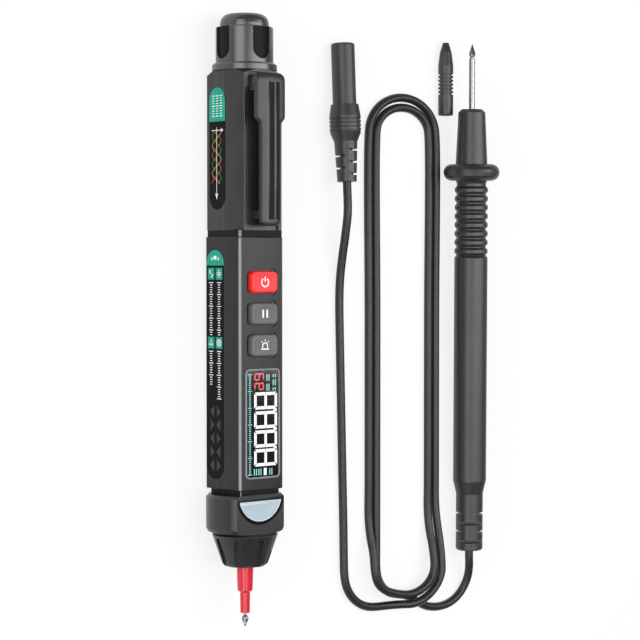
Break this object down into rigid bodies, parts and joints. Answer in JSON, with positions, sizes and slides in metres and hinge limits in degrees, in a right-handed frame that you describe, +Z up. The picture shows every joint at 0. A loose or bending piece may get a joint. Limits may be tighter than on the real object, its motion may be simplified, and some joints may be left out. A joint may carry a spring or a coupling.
{
  "type": "pen multimeter",
  "caption": "Pen-shaped digital multimeter lying on its back, with display, keys, pocket clip and probe tip, and its plug-in test lead laid in loops beside it.",
  "frame": {"origin": "centre of the pen's footprint on the table, midway along the pen, under its axis", "axes": "+Z up, out of the display; +Y along the pen from the probe tip to the jack end; +X to the pen's right, towards the test lead"},
  "size_m": [0.131, 0.2141, 0.0266],
  "materials": {
    "shell": "satin black ABS",
    "grey_shell": "satin dark grey ABS",
    "black_rubber": "soft matte",
    "label": "glossy printed inlay",
    "red_plastic": "semi gloss",
    "grey_key": "satin",
    "bezel": "satin light grey",
    "window": "clear smoked window",
    "lens": "translucent pale blue",
    "clear_lens": "clear",
    "bright_metal": "nickel plated",
    "brass": "nickel plated brass",
    "spring_steel": "zinc plated",
    "board": "green solder mask",
    "dark_part": "matte",
    "white_plastic": "matte white",
    "battery_wrap": "printed wrap"
  },
  "bodies": {
    "meter": {"lower_front_shell": "shell", "lower_rear_shell": "shell", "upper_front_shell": "grey_shell", "upper_rear_shell": "grey_shell", "neck_ring": "shell", "head_nut": "shell", "head_barrel": "shell", "jack_insulator": "dark_part", "jack_socket": "brass", "jack_strap": "brass", "clip_pin": "spring_steel", "clip_spring": "spring_steel", "upper_label": "label", "lower_label": "label", "key_switches": "dark_part", "display_bezel": "bezel", "display_window": "window", "display_glass": "window", "display_frame": "white_plastic", "circuit_board": "board", "board_components": "dark_part", "buzzer": "dark_part", "battery_1": "battery_wrap", "battery_2": "battery_wrap", "battery_spring": "spring_steel", "battery_plate": "spring_steel", "collar": "shell", "signal_lens": "lens", "signal_lamp": "white_plastic", "lamp_board": "board", "nose_cone": "shell", "torch_lamp": "clear_lens", "torch_lens": "clear_lens", "tip_sleeve": "red_plastic", "tip_rod": "bright_metal", "tip_spring": "spring_steel", "shell_screws": "spring_steel"},
    "power_key": {"power_key": "red_plastic"},
    "hold_key": {"hold_key": "grey_key"},
    "function_key": {"function_key": "grey_key"},
    "clip": {"pocket_clip": "shell"},
    "battery_door": {"battery_door": "grey_shell"},
    "lead": {"plug_shroud": "black_rubber", "plug_pin": "brass", "plug_boot": "black_rubber", "cord_to_plug": "black_rubber", "cord_loops": "black_rubber", "cord_to_probe": "black_rubber", "probe_handle": "black_rubber", "probe_boot": "black_rubber", "probe_needle": "bright_metal"},
    "tip_cap": {"tip_cap": "black_rubber"}
  },
  "joints": [
    {"name": "power_press", "type": "slide", "parent": "meter", "child": "power_key", "axis": [0, 0, -1], "range_m": [0, 0.0006], "stiffness_N_per_m": 400},
    {"name": "hold_press", "type": "slide", "parent": "meter", "child": "hold_key", "axis": [0, 0, -1], "range_m": [0, 0.0006], "stiffness_N_per_m": 400},
    {"name": "function_press", "type": "slide", "parent": "meter", "child": "function_key", "axis": [0, 0, -1], "range_m": [0, 0.0006], "stiffness_N_per_m": 400},
    {"name": "clip_lift", "type": "hinge", "parent": "meter", "child": "clip", "pos_m": [0, 0.0793, 0.0231], "axis": [-1, 0, 0], "range_deg": [0, 8], "stiffness_Nm_per_rad": 0.6},
    {"name": "door_off", "type": "slide", "parent": "meter", "child": "battery_door", "axis": [1, 0, 0], "range_m": [0, 0.02]},
    {"name": "lead_lift", "type": "slide", "parent": "meter", "child": "lead", "axis": [0, 0, 1], "range_m": [0, 0.06]},
    {"name": "cap_lift", "type": "slide", "parent": "meter", "child": "tip_cap", "axis": [-0.7071, 0, 0.7071], "range_m": [0, 0.03]}
  ]
}
